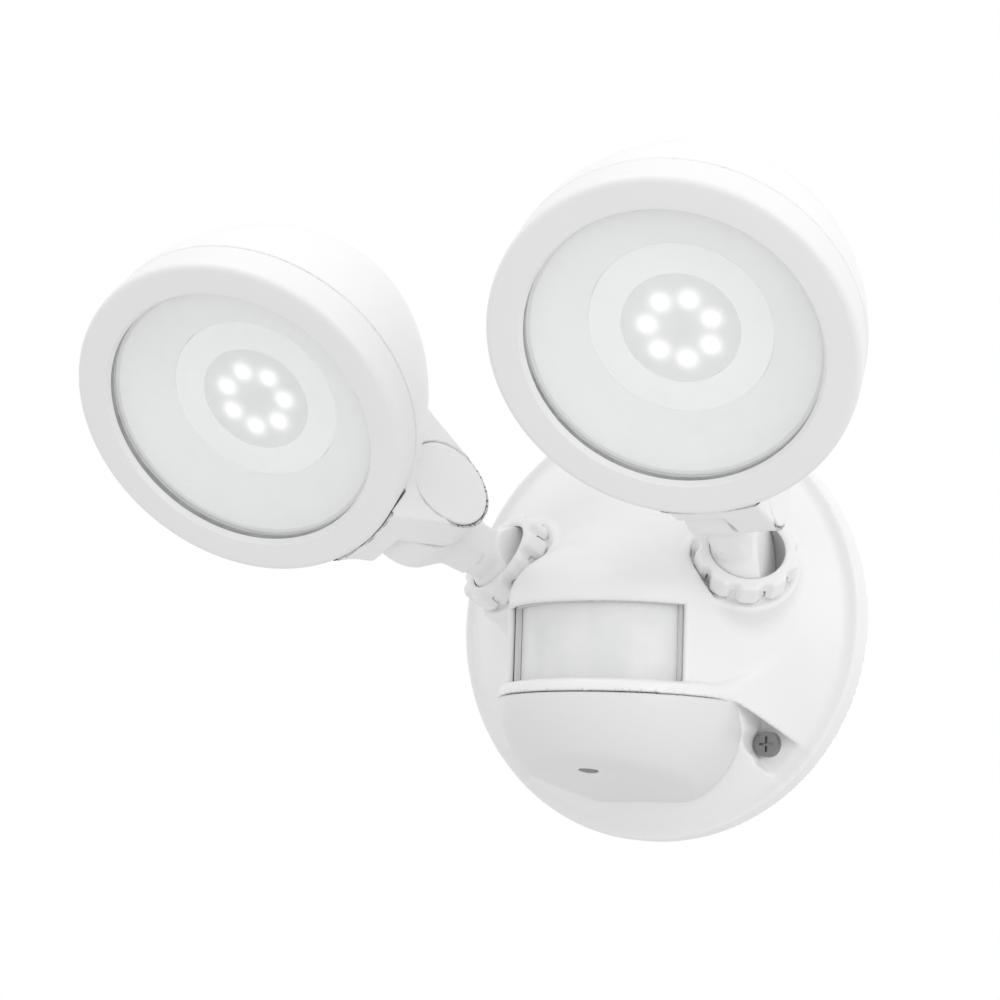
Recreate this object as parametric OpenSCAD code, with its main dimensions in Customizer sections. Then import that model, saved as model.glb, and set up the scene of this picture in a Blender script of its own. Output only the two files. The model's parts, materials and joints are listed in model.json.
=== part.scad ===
// Twin-head security floodlight with a motion sensor, on a round canopy.
// The wall is the plane y = 0, the light stands out along -Y and +Z is up.

/* [Canopy] */
// Radius of the canopy that covers the junction box
canopy_r = 70; // [66:0.5:86]
// Depth of the straight rim that stands on the wall
rim_depth = 8; // [7:0.5:11]
// Width of the flat step between the rim and the dome
rim_step = 4.5; // [3:0.5:6]
// How far the top of the dome stands out from the wall
dome_out = 36; // [32:0.5:42]
// Wall of the moulded canopy
canopy_wall = 2.4; // [2:0.1:3]
// Radius at which the two cover screws sit
cover_screw_ring = 57; // [55:0.5:58]
// Angle of the cover screws below the horizontal
cover_screw_angle = 44; // [40:1:48]
// Radius of the screw troughs
trough_r = 6.5; // [5.5:0.25:7.5]

/* [Mounting plate] */
// Radius of the steel plate on the junction box
plate_r = 61; // [60:0.25:61.5]
// Thickness of the steel plate
plate_t = 1.6; // [1.2:0.1:2]
// Radius of the wire opening in the plate
plate_opening_r = 19; // [15:0.5:21]
// Half the span between the middles of the two box slots
box_slot_x = 39.7; // [38:0.1:42]
// Straight travel of a box screw along its slot
box_slot_travel = 9.6; // [5:0.2:11]
// Radius of the box screw holes
box_hole_r = 2.3; // [2:0.1:2.6]

/* [Motion sensor] */
// Distance of the sensor tower's upright axis from the wall
sensor_out = 33; // [31:0.5:36]
// Radius of the half-round tower
tower_r = 35.5; // [34:0.25:36]
// Radius of the lip and the chin below the window
lip_r = 38; // [37:0.25:39]
// Outer radius of the half-round sensor lens
pir_lens_r = 31; // [29.5:0.25:31.5]
// Wall of the sensor lens
pir_lens_wall = 1; // [0.8:0.1:1.5]
// Half the angle that the window opens around the axis
window_half_angle = 60; // [50:1:64]
// Height of the window
window_h = 23.3; // [18:0.1:25]
// Height of the lip below the window
lip_h = 4.5; // [4:0.25:7]
// Height of the brow above the window
brow_h = 3; // [2.5:0.25:4]
// Height of the rounded roof above the brow
roof_h = 20; // [16:0.5:21]
// Height of the rounded chin
chin_h = 33.8; // [30:0.2:36]
// Slope of the chin's underside, rising to the front
chin_slope = 11; // [6:1:14]
// Radius of the light sensor's hole in the chin
photocell_r = 3; // [2.5:0.1:3.5]

/* [Ports and ball joints] */
// Sideways distance of each ball from the middle
port_x = 40.7; // [40:0.1:44]
// Distance of each ball from the wall
port_out = 30.5; // [29:0.25:33]
// Height of each ball above the middle
port_z = 16.2; // [15:0.1:19]
// Turn of each port's axis away from straight out
port_splay = 32; // [28:1:38]
// Rise of each port's axis
port_rise = 29; // [24:1:33]
// Radius of the ball on each arm
ball_r = 13; // [12:0.25:13.5]
// Outer radius of the lock ring
ring_r = 16.5; // [16:0.1:17]
// Height of the lock ring
ring_h = 8; // [7:0.25:9]
// Number of finger grooves around the lock ring
ring_grooves = 10; // [8:1:14]

/* [Arms] */
// Distance from the ball to the lamp hinge
arm_l = 41.2; // [39:0.2:46]
// Radius of the round ears at the lamp hinge
ear_r = 16; // [15:0.25:17]
// Width of the whole hinge along its bolt
hinge_w = 27; // [25:0.5:29]
// Sideways shift of the hinge from the arm's own axis
hinge_shift = 7.5; // [6.5:0.25:8.5]
// Width of the web between ball and ear
web_w = 17; // [14:0.5:18]
// Thickness of the web between ball and ear
web_t = 12; // [10:0.5:12.5]
// Radius of the hinge bolt
bolt_r = 3; // [2.5:0.1:3.5]
// Flare of the lamp's neck towards its face
neck_flare_front = 44; // [30:1:48]
// Flare of the lamp's neck towards its back
neck_flare_back = 10; // [5:1:16]
// Radius of the round cap over the hinge bolt
cap_r = 14.8; // [13.5:0.1:15.2]

/* [Lamps] */
// Largest radius of a lamp housing
lamp_r = 54; // [50:0.5:58]
// Length of a lamp from the face to the back
lamp_l = 82; // [74:0.5:90]
// Depth of the bezel ring
bezel_depth = 12.7; // [12:0.1:15]
// Width of the bezel's flat front
bezel_flat = 9.4; // [7:0.1:10.5]
// Depth of the lens below the bezel's front
lens_recess = 2; // [1.5:0.1:3]
// Thickness of the lens
lens_t = 2; // [1.5:0.1:2.5]
// Distance from the hinge to the lamp's axis
lamp_drop = 62; // [60:0.5:68]
// Distance from the hinge to the lamp's face
lamp_front = 34; // [32:0.5:38]
// Wall of the lamp housing
lamp_wall = 2.2; // [1.8:0.1:3]
// Number of LEDs in a lamp
led_count = 7; // [5:1:8]
// Radius of the ring of LEDs
led_ring_r = 9.8; // [8:0.1:11]
// Radius of the pale disc around the LEDs
disc_r = 27; // [24:0.5:29]

/* [Rest pose, left] */
// Swing of the left arm from straight out
left_swing = -29.5; // [-40:0.5:-24]
// Rise of the left arm
left_rise = 18.2; // [14:0.1:24]
// Roll of the left arm about its own axis
left_roll = 26.4; // [20:0.1:30]
// Tilt of the left lamp on its hinge
left_tilt = 65.6; // [55:0.1:72]

/* [Rest pose, right] */
// Swing of the right arm from straight out
right_swing = 7; // [5:0.5:16]
// Rise of the right arm
right_rise = 27.1; // [22:0.1:32]
// Roll of the right arm about its own axis
right_roll = 3.3; // [-5:0.1:10]
// Tilt of the right lamp on its hinge
right_tilt = 66.5; // [55:0.1:72]

/* [Hidden] */
LEFT = -1;
RIGHT = 1;
$fn = 96;

// Clearances and overlaps
cut = 1;
slide_gap = 0.3;
seat_gap = 0.15;
pin_gap = 0.05;

// Canopy
step_r = canopy_r - rim_step;
rim_edge = 1.2;
arc_steps = 24;
tower_wall = 2.2;
gasket_t = 1.5;
gasket_r = canopy_r - canopy_wall - seat_gap;
gasket_inner_r = plate_r + 2 * slide_gap;
hook_w = 12;
hook_l = 5;
hook_t = 1.4;
hook_rib_t = 2;

// Cover screws and their troughs
cover_screw_r = 2;
cover_head_r = 4;
cover_head_h = 2.6;
head_room = 1;
seal_t = 0.8;
post_r = 3.6;
cover_screw_x = cover_screw_ring * cos(cover_screw_angle);
cover_screw_z = -cover_screw_ring * sin(cover_screw_angle);
trough_inner = 11;
trough_floor = rim_depth;

// Sensor heights, measured from the canopy's middle
window_bottom = -window_h;
lip_bottom = window_bottom - lip_h;
window_mid = -window_h / 2;
lens_edge = 1.4;
lens_lap_angle = 5;
frame_inner_r = pir_lens_r + seat_gap;
frame_outer_r = tower_r - tower_wall - seat_gap;
frame_edge = 2.6;
pir_can_r = 4.6;
pir_can_h = 3.6;
pir_window_r = 3.2;
sensor_board_t = 1.6;
sensor_board_w = 34;
sensor_board_h = 19;
sensor_board_out = sensor_out + 4;

// Chin: its underside runs through this point and rises to the front
chin_wall = 2;
chin_back_out = 10;
chin_back_share = 0.93;
chin_back_z = lip_bottom - chin_back_share * chin_h;
chin_collar_h = lip_h - tower_wall - seat_gap;
chin_collar_r = lip_r - tower_wall - seat_gap;
photocell_out = sensor_out + 20;
light_sensor_r = 2.5;
light_sensor_h = 2.2;

// Driver board and what stands on it
driver_w = 52;
driver_h = 30;
driver_z = 24;
driver_out = 5;
driver_t = 1.6;
transformer_size = [17, 15, 13];
transformer_x = -11;
transformer_z = driver_z + 9;
winding_r = 6.2;
relay_size = [15, 12, 12];
relay_x = 13;
relay_z = driver_z + 8;
cap_can_r = 5;
cap_can_h = 8;
cap_can_z = driver_z + 22;
cap_can_pitch = 12;
terminal_size = [24, 10, 10];
terminal_z = -49;
terminal_ways = 3;
terminal_screw_r = 2;

// Ports
spigot_r = 14.6;
spigot_top = 2.6;
boss_r = 17.8;
boss_top = -2;
port_depth = 18;
wire_r = 5;
seat_r = 9;
seat_inner_r = 6.4;
seat_bottom = -13.4;
seat_top = -9.4;
ring_bottom = -1;
ring_top = ring_bottom + ring_h;
ring_mouth_r = 12.6;
ring_mouth_h = 1.2;
groove_r = 2.2;
groove_sink = 0.5;

// Hinge
web_start = ball_r + 3;
hinge_half = hinge_w / 2;
washer_t = 0.8;
washer_r = 12;
ear_gap = washer_t + 2 * pin_gap;
ear_clear = 0.6;
bolt_head_r = 5;
bolt_head_h = 3.6;
bolt_head_x = 6.2;
nut_r = 5.5;
nut_t = 4.4;
nut_x = -12;
cap_t = 1.8;
neck_reach = 26;
neck_front_y = 9;

// Lamp, measured along its axis from the face (0) to the back (negative)
face_edge = 1.4;
lens_r = lamp_r - face_edge - bezel_flat;
lens_bevel = 0.9;
lens_lap = 1.6;
lens_front = -lens_recess;
lens_back = lens_front - lens_t;
bezel_wall = 2.2;
bezel_rear_r = lamp_r - 0.5;
bezel_web = 6;
lens_gasket_t = 1.4;
shell_front = -(bezel_depth + seat_gap);
shell_power = 1.7;
shell_steps = 30;
collar_wall = 1.8;
collar_r = bezel_rear_r - bezel_wall - seat_gap;
collar_front = -(bezel_web + seat_gap);
disc_front = -14;
carrier_t = 1.2;
core_r = 17.5;
core_sink = 0.8;
dimple_r = 3.4;
reflector_wall = 1.2;
reflector_front = lens_back - lens_gasket_t - seat_gap;
board_r = disc_r - 1;
board_t = 1.6;
board_front = disc_front - 3;
led_w = 3.2;
led_t = 1.2;
led_dome_r = 1.4;
sink_front = board_front - board_t;
sink_t = 4;
sink_r = 36;
fin_t = 2;
fin_count = 7;
fin_pitch = 7;
fin_l = 14;
sink_post_ring = 31;
sink_post_r = 3.6;
sink_screw_r = 1.5;
sink_screw_l = 10;
sink_head_r = 2.8;
sink_head_h = 2;
sink_screw_count = 3;

function is_left(side) = side == LEFT;
function arm_swing(side) = is_left(side) ? left_swing : right_swing;
function arm_rise(side) = is_left(side) ? left_rise : right_rise;
function arm_roll(side) = is_left(side) ? left_roll : right_roll;
function lamp_tilt(side) = is_left(side) ? left_tilt : right_tilt;

// ---- Places: each one puts its children in that piece's own frame ----

// +Z points straight out from the wall, +Y stays up
module from_wall() rotate([90, 0, 0]) children();

// Ball centre, +Z along the port's axis
module at_port(side)
    translate([side * port_x, -port_out, port_z])
        rotate([90 - port_rise, 0, side * port_splay]) children();

// Ball centre, +Z along the arm, +X along the lamp's hinge
module at_arm(side)
    translate([side * port_x, -port_out, port_z])
        rotate([90 - arm_rise(side), 0, arm_swing(side)])
            rotate([0, 0, arm_roll(side)]) children();

// Hinge centre, +X along the bolt, +Z the way the lamp faces
module at_hinge(side)
    at_arm(side)
        translate([hinge_shift, 0, arm_l])
            rotate([lamp_tilt(side), 0, 0]) children();

// Middle of the lamp's face, +Z the way the lamp faces
module at_lamp(side)
    at_hinge(side)
        translate([0, lamp_drop, lamp_front]) children();

// Children turned so that their +Z runs along the hinge bolt
module along_bolt() rotate([0, 90, 0]) children();

// ---- Canopy ----

// Points of the dome's curve, from its edge to its top
function dome_arc(edge_r, edge_out, top_out) =
    let (
        rise = top_out - edge_out,
        big_r = (edge_r * edge_r + rise * rise) / (2 * rise),
        sweep = asin(edge_r / big_r)
    )
    [for (i = [0:arc_steps]) let (a = sweep * (1 - i / arc_steps))
        [big_r * sin(a), top_out - big_r + big_r * cos(a)]];

// Rim, step and dome as one turned solid that starts at the given distance from the wall
module dome_solid(inset, start)
    rotate_extrude()
        polygon(concat(
            [[0, start], [canopy_r - inset, start],
             [canopy_r - inset, rim_depth - rim_edge - inset / 2],
             [canopy_r - rim_edge - inset / 2, rim_depth - inset]],
            dome_arc(step_r - inset / 2, rim_depth - inset, dome_out - inset)));

// Quarter ellipse from its rim to its tip
function quarter_ellipse(r, h) =
    concat([[0, 0]], [for (i = [0:arc_steps]) let (a = 90 * i / arc_steps) [r * cos(a), h * sin(a)]]);

// Round end in front, and the same outline carried back to the wall
module rounded_end(r, h) {
    rotate_extrude()
        polygon(quarter_ellipse(r, h));
    rotate([-90, 0, 0])
        linear_extrude(sensor_out)
            for (flip = [0, 1])
                mirror([flip, 0])
                    mirror([0, 1])
                        polygon(quarter_ellipse(r, h));
}

// Upright half drum that reaches back to the wall
module half_drum(r, bottom, top)
    translate([0, 0, bottom])
        linear_extrude(top - bottom) {
            translate([0, -sensor_out])
                circle(r);
            translate([-r, -sensor_out])
                square([2 * r, sensor_out]);
        }

module tower_solid(inset) {
    half_drum(tower_r - inset, window_bottom - inset, brow_h);
    half_drum(lip_r - inset, lip_bottom - (inset > 0 ? cut : 0), window_bottom - inset);
    translate([0, -sensor_out, brow_h])
        rounded_end(tower_r - inset, roof_h - inset);
}

// Wedge of the given half angle around the sensor's upright axis
module sensor_sector(half_angle, bottom, top)
    translate([0, -sensor_out, bottom])
        linear_extrude(top - bottom)
            polygon([[0, 0],
                [-2 * lip_r * sin(half_angle), -2 * lip_r * cos(half_angle)],
                [0, -4 * lip_r],
                [2 * lip_r * sin(half_angle), -2 * lip_r * cos(half_angle)]]);

// Upright half-round wall around the sensor's axis, cut to a half angle
module sensor_wall(outer, inner, half_angle, bottom, top)
    intersection() {
        translate([0, -sensor_out, bottom])
            difference() {
                cylinder(r = outer, h = top - bottom);
                translate([0, 0, -cut])
                    cylinder(r = inner, h = top - bottom + 2 * cut);
            }
        sensor_sector(half_angle, bottom - cut, top + cut);
    }

module at_cover_screws()
    for (side = [LEFT, RIGHT])
        translate([side * cover_screw_x, 0, cover_screw_z])
            from_wall() children();

// Half-round channels that leave the dome over the cover screws
module troughs(r, floor_out)
    from_wall()
        translate([0, 0, floor_out])
            linear_extrude(dome_out)
                for (side = [LEFT, RIGHT])
                    rotate(side * (90 - cover_screw_angle) - 90) {
                        translate([cover_screw_ring - trough_inner, 0])
                            circle(r);
                        translate([cover_screw_ring - trough_inner, -r])
                            square([trough_inner + 2 * canopy_r - cover_screw_ring, 2 * r]);
                    }

// The sensor's footprint, which the channels stop short of
module sensor_footing(r) half_drum(r, lip_bottom - chin_h, 0);

module canopy_outer() {
    from_wall()
        dome_solid(0, 0);
    tower_solid(0);
    for (side = [LEFT, RIGHT])
        at_port(side)
            translate([0, 0, boss_top - port_depth])
                cylinder(r = boss_r, h = port_depth);
}

// Rib inside the top of the canopy that hangs on the plate's hook
module hook_rib()
    intersection() {
        canopy_outer();
        translate([-hook_w, -plate_t - hook_t - seat_gap - hook_rib_t, plate_r - hook_l])
            cube([2 * hook_w, hook_rib_t, canopy_r]);
    }

module canopy_cover() {
    color("white")
        difference() {
            union() {
                difference() {
                    canopy_outer();
                    from_wall()
                        dome_solid(canopy_wall, -cut);
                    tower_solid(tower_wall);
                }
                intersection() {
                    canopy_outer();
                    union() {
                        difference() {
                            troughs(trough_r + canopy_wall, trough_floor - canopy_wall);
                            sensor_footing(lip_r - tower_wall);
                        }
                        for (side = [LEFT, RIGHT])
                            at_port(side)
                                translate([0, 0, boss_top - port_depth])
                                    cylinder(r = boss_r, h = port_depth + spigot_top - boss_top);
                    }
                }
                for (side = [LEFT, RIGHT])
                    at_port(side)
                        translate([0, 0, boss_top - cut])
                            cylinder(r = spigot_r, h = spigot_top - boss_top + cut);
                hook_rib();
            }
            // Nothing stands behind the wall
            translate([-2 * canopy_r, 0, -2 * canopy_r])
                cube([4 * canopy_r, 2 * canopy_r, 4 * canopy_r]);
            difference() {
                troughs(trough_r, trough_floor);
                sensor_footing(lip_r);
            }
            at_cover_screws() {
                cylinder(r = cover_screw_r + seat_gap, h = dome_out);
                translate([0, 0, trough_floor])
                    cylinder(r = cover_head_r + head_room, h = dome_out);
            }
            sensor_sector(window_half_angle, window_bottom, 0);
            for (side = [LEFT, RIGHT])
                at_port(side) {
                    // Room for the lock ring where the roof comes near it
                    translate([0, 0, ring_bottom - slide_gap])
                        difference() {
                            cylinder(r = ring_r + slide_gap, h = ring_h);
                            translate([0, 0, -cut])
                                cylinder(r = spigot_r, h = ring_h + 2 * cut);
                        }
                    sphere(r = ball_r + slide_gap);
                    cylinder(r = ball_r + slide_gap, h = ring_h);
                    translate([0, 0, seat_bottom])
                        cylinder(r = seat_r + pin_gap, h = -seat_bottom);
                    translate([0, 0, boss_top - port_depth - cut])
                        cylinder(r = wire_r, h = port_depth);
                }
        }
}

// Everything above the chin's sloping underside
module above_chin_slope(inset)
    translate([0, -chin_back_out, chin_back_z + inset])
        rotate([-chin_slope, 0, 0])
            translate([-2 * lip_r, -4 * lip_r, 0])
                cube([4 * lip_r, 8 * lip_r, 4 * lip_r]);

module chin_solid(inset)
    intersection() {
        translate([0, -sensor_out, lip_bottom])
            mirror([0, 0, 1])
                rounded_end(lip_r - inset, chin_h - inset);
        above_chin_slope(inset);
    }

// Places children on the chin's underside, +Z up through its wall
module at_photocell()
    translate([0, -photocell_out, chin_back_z + (photocell_out - chin_back_out) * tan(chin_slope)])
        rotate([-chin_slope, 0, 0]) children();

module sensor_chin() {
    color("gainsboro")
        difference() {
            union() {
                difference() {
                    translate([0, 0, -seat_gap])
                        chin_solid(0);
                    chin_solid(chin_wall);
                }
                // Collar that plugs into the lip, rooted in the chin's wall
                difference() {
                    union() {
                        half_drum(chin_collar_r, lip_bottom - chin_wall, lip_bottom + chin_collar_h);
                        half_drum(lip_r - chin_wall / 2, lip_bottom - chin_wall, lip_bottom - seat_gap);
                    }
                    half_drum(chin_collar_r - chin_wall, lip_bottom - 2 * chin_wall, 0);
                }
            }
            from_wall()
                dome_solid(-seat_gap, -lip_r);
            at_photocell()
                translate([0, 0, -cut])
                    cylinder(r = photocell_r, h = 2 * chin_wall + cut);
        }
}

module photocell_window() {
    color("silver")
        at_photocell()
            translate([0, 0, seat_gap]) {
                cylinder(r = photocell_r - seat_gap, h = chin_wall);
                translate([0, 0, chin_wall])
                    cylinder(r = photocell_r + chin_wall / 2, h = chin_wall / 2);
            }
}

module light_sensor() {
    color("peru")
        at_photocell()
            translate([0, 0, 1.5 * chin_wall + 2 * seat_gap]) {
                cylinder(r = light_sensor_r, h = light_sensor_h);
                for (x = [-1, 1])
                    translate([x, 0, light_sensor_h])
                        cylinder(r = 0.3, h = chin_collar_h);
            }
}

module pir_lens() {
    color("whitesmoke")
        sensor_wall(pir_lens_r, pir_lens_r - pir_lens_wall, window_half_angle + lens_lap_angle,
            window_bottom - lens_edge, lens_edge);
}

// Frame between the lens and the tower, open over the window
module lens_frame() {
    color("silver")
        difference() {
            sensor_wall(frame_outer_r, frame_inner_r, window_half_angle + 2 * lens_lap_angle,
                window_bottom - frame_edge, frame_edge);
            sensor_sector(window_half_angle, window_bottom, 0);
        }
}

module pir_element() {
    color("silver")
        translate([0, -sensor_board_out - sensor_board_t, window_mid])
            from_wall()
                difference() {
                    cylinder(r = pir_can_r, h = pir_can_h);
                    translate([0, 0, pir_can_h - cut / 2])
                        cylinder(r = pir_window_r, h = cut);
                }
}

module sensor_board() {
    color("seagreen")
        translate([-sensor_board_w / 2, -sensor_board_out - sensor_board_t, window_mid - sensor_board_h / 2])
            cube([sensor_board_w, sensor_board_t, sensor_board_h]);
}

// ---- Mounting plate and what lies behind the canopy ----

module mounting_plate() {
    color("silver")
        from_wall()
            difference() {
                union() {
                    cylinder(r = plate_r, h = plate_t);
                    for (side = [LEFT, RIGHT])
                        translate([side * cover_screw_x, cover_screw_z])
                            cylinder(r = post_r, h = trough_floor - canopy_wall - seat_gap);
                    translate([-hook_w / 2, plate_r - hook_l])
                        cube([hook_w, hook_l - slide_gap, plate_t + hook_t]);
                }
                translate([0, 0, -cut])
                    cylinder(r = plate_opening_r, h = plate_t + 2 * cut);
                for (side = [LEFT, RIGHT]) {
                    translate([side * cover_screw_x, cover_screw_z, -cut])
                        cylinder(r = cover_screw_r, h = dome_out);
                    translate([side * box_slot_x, 0, -cut])
                        linear_extrude(plate_t + 2 * cut) {
                            for (end = [-1, 1])
                                translate([end * box_slot_travel / 2, 0])
                                    circle(box_hole_r);
                            square([box_slot_travel, 2 * box_hole_r], center = true);
                        }
                }
            }
}

module wall_gasket() {
    color("dimgray")
        from_wall()
            difference() {
                cylinder(r = gasket_r, h = gasket_t);
                translate([0, 0, -cut])
                    cylinder(r = gasket_inner_r, h = gasket_t + 2 * cut);
            }
}

module driver_board() {
    color("seagreen")
        translate([-driver_w / 2, -driver_out - driver_t, driver_z])
            cube([driver_w, driver_t, driver_h]);
}

// A block that stands on the driver board, centred on x and z
module on_board(x, z) translate([x, -driver_out - driver_t, z]) from_wall() children();

module transformer() {
    color("goldenrod")
        on_board(transformer_x, transformer_z) {
            difference() {
                translate([0, 0, transformer_size[2] / 2])
                    cube(transformer_size, center = true);
                for (end = [-1, 1])
                    translate([0, end * transformer_size[1] / 2, transformer_size[2] / 2])
                        cube([transformer_size[0] - 6, transformer_size[1] / 2, transformer_size[2] - 4],
                            center = true);
            }
            translate([0, 0, 2])
                cylinder(r = winding_r, h = transformer_size[2] - 4);
        }
}

module relay() {
    color("royalblue")
        on_board(relay_x, relay_z)
            translate([0, 0, relay_size[2] / 2])
                cube(relay_size, center = true);
}

module capacitors() {
    color("midnightblue")
        for (i = [-1:1])
            on_board(i * cap_can_pitch, cap_can_z)
                cylinder(r = cap_can_r, h = cap_can_h);
}

module terminal_block() {
    color("ivory")
        translate([0, -plate_t, terminal_z])
            from_wall()
                difference() {
                    translate([0, 0, terminal_size[2] / 2])
                        cube(terminal_size, center = true);
                    for (i = [0:terminal_ways - 1])
                        translate([(i - (terminal_ways - 1) / 2) * terminal_size[0] / terminal_ways,
                                0, terminal_size[2] - 2])
                            cylinder(r = terminal_screw_r, h = 4);
                }
}

module cover_screws() {
    color("silver")
        at_cover_screws() {
            translate([0, 0, trough_floor + seal_t])
                difference() {
                    cylinder(r = cover_head_r, h = cover_head_h);
                    for (turn = [0, 90])
                        rotate(turn)
                            translate([0, 0, cover_head_h])
                                cube([1.2 * cover_head_r, 0.9, 2.4], center = true);
                }
            translate([0, 0, plate_t / 2])
                cylinder(r = cover_screw_r - pin_gap, h = trough_floor + seal_t - plate_t / 2);
        }
}

module screw_seals() {
    color("dimgray")
        at_cover_screws()
            translate([0, 0, trough_floor])
                difference() {
                    cylinder(r = cover_head_r, h = seal_t);
                    translate([0, 0, -cut])
                        cylinder(r = cover_screw_r, h = seal_t + 2 * cut);
                }
}

// ---- Ball joints and arms ----

module lock_ring(side) {
    color("white")
        at_port(side)
            difference() {
                translate([0, 0, ring_bottom])
                    cylinder(r = ring_r, h = ring_h);
                translate([0, 0, ring_bottom - cut])
                    cylinder(r = spigot_r + pin_gap, h = spigot_top + pin_gap - ring_bottom + cut);
                sphere(r = ball_r + slide_gap);
                translate([0, 0, ring_top - ring_mouth_h])
                    cylinder(r1 = ring_mouth_r - ring_mouth_h, r2 = ring_mouth_r + 0.4, h = ring_mouth_h + 0.01);
                for (i = [0:ring_grooves - 1])
                    rotate(i * 360 / ring_grooves)
                        translate([ring_r + groove_sink, 0, ring_bottom - cut])
                            cylinder(r = groove_r, h = ring_h + 2 * cut, $fn = 32);
            }
}

module ball_seat(side) {
    color("dimgray")
        at_port(side)
            difference() {
                translate([0, 0, seat_bottom])
                    cylinder(r = seat_r, h = seat_top - seat_bottom);
                translate([0, 0, seat_bottom - cut])
                    cylinder(r = seat_inner_r, h = seat_top - seat_bottom + 2 * cut);
                sphere(r = ball_r + slide_gap / 2);
            }
}

// Ball, web and round ear; the ear fills one half of the hinge
module arm(side) {
    color("white")
        at_arm(side)
            difference() {
                union() {
                    sphere(r = ball_r);
                    // Rounded where it leaves the ball, then straight to the ear
                    intersection() {
                        translate([-web_t / 2, -web_w / 2, 0])
                            cube([web_t, web_w, arm_l]);
                        union() {
                            cylinder(r = web_w / 2, h = arm_l);
                            translate([0, 0, web_start])
                                cylinder(r = web_w, h = arm_l);
                        }
                    }
                    translate([hinge_shift - hinge_half, 0, arm_l])
                        along_bolt()
                            cylinder(r = ear_r, h = hinge_half - ear_gap / 2);
                }
                translate([0, 0, -ball_r - cut])
                    cylinder(r = wire_r, h = ball_r + cut);
                translate([hinge_shift - hinge_half - cut, 0, arm_l])
                    along_bolt() {
                        cylinder(r = bolt_r + pin_gap, h = hinge_w);
                        cylinder(r = nut_r + seat_gap, h = hinge_half + nut_x + nut_t + cut, $fn = 6);
                    }
            }
}

module hinge_bolt(side) {
    color("silver")
        at_hinge(side)
            along_bolt() {
                translate([0, 0, nut_x])
                    cylinder(r = bolt_r, h = bolt_head_x - nut_x);
                translate([0, 0, bolt_head_x])
                    difference() {
                        cylinder(r = bolt_head_r, h = bolt_head_h);
                        translate([0, 0, bolt_head_h / 2])
                            cylinder(r = bolt_r, h = bolt_head_h, $fn = 6);
                    }
            }
}

module hinge_nut(side) {
    color("silver")
        at_arm(side)
            translate([hinge_shift + nut_x + pin_gap, 0, arm_l])
                along_bolt()
                    difference() {
                        cylinder(r = nut_r, h = nut_t - 2 * pin_gap, $fn = 6);
                        translate([0, 0, -cut])
                            cylinder(r = bolt_r + pin_gap, h = nut_t + 2 * cut);
                    }
}

module friction_washer(side) {
    color("dimgray")
        at_hinge(side)
            along_bolt()
                translate([0, 0, -washer_t / 2])
                    difference() {
                        cylinder(r = washer_r, h = washer_t);
                        translate([0, 0, -cut])
                            cylinder(r = bolt_r + pin_gap, h = washer_t + 2 * cut);
                    }
}

module hinge_cap(side) {
    color("whitesmoke")
        at_hinge(side)
            along_bolt()
                translate([0, 0, hinge_half - cap_t])
                    cylinder(r = cap_r, h = cap_t);
}

// ---- Lamps ----

// Points of the housing's side, from the bezel to the back
function shell_arc(r, l) =
    [for (i = [0:shell_steps]) let (t = sin(90 * i / shell_steps))
        [r * pow(max(0, 1 - pow(t, shell_power)), 1 / shell_power), shell_front - (l + shell_front) * t]];

module shell_solid(inset)
    rotate_extrude()
        polygon(concat(shell_arc(bezel_rear_r - inset, lamp_l - inset), [[0, shell_front + inset]],
            [[bezel_rear_r - inset, shell_front + inset]]));

// Side outline of the neck: round at the hinge, straight to the housing
module neck_outline() {
    circle(ear_r);
    polygon([
        ear_r * [-sin(neck_flare_front), cos(neck_flare_front)],
        [neck_front_y, ear_r * cos(neck_flare_front)
            + (neck_front_y + ear_r * sin(neck_flare_front)) * tan(neck_flare_front)],
        [neck_reach, ear_r * cos(neck_flare_front)
            + (neck_front_y + ear_r * sin(neck_flare_front)) * tan(neck_flare_front)],
        [neck_reach, -ear_r * cos(neck_flare_back)
            - (neck_reach + ear_r * sin(neck_flare_back)) * tan(neck_flare_back)],
        ear_r * [-sin(neck_flare_back), -cos(neck_flare_back)]
    ]);
}

// Room for the arm's ear, or with a wall thickness the pocket around it
module ear_room(wall)
    translate([-hinge_half - ear_clear - wall, 0, 0])
        along_bolt()
            cylinder(r = ear_r + ear_clear + wall, h = hinge_half + ear_clear + ear_gap / 2 + wall);

// The neck in the hinge's frame; half of it makes way for the arm's ear
module neck_solid()
    difference() {
        translate([-hinge_half, 0, 0])
            rotate([90, 0, 90])
                linear_extrude(hinge_w)
                    neck_outline();
        translate([-hinge_half - cut, -2 * ear_r, -2 * ear_r])
            cube([hinge_half + cut + ear_gap / 2, 2 * ear_r, 4 * ear_r]);
    }

module sink_posts()
    for (i = [0:sink_screw_count - 1])
        rotate(90 + i * 360 / sink_screw_count)
            translate([sink_post_ring, 0, sink_front - sink_t - seat_gap]) children();

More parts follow.
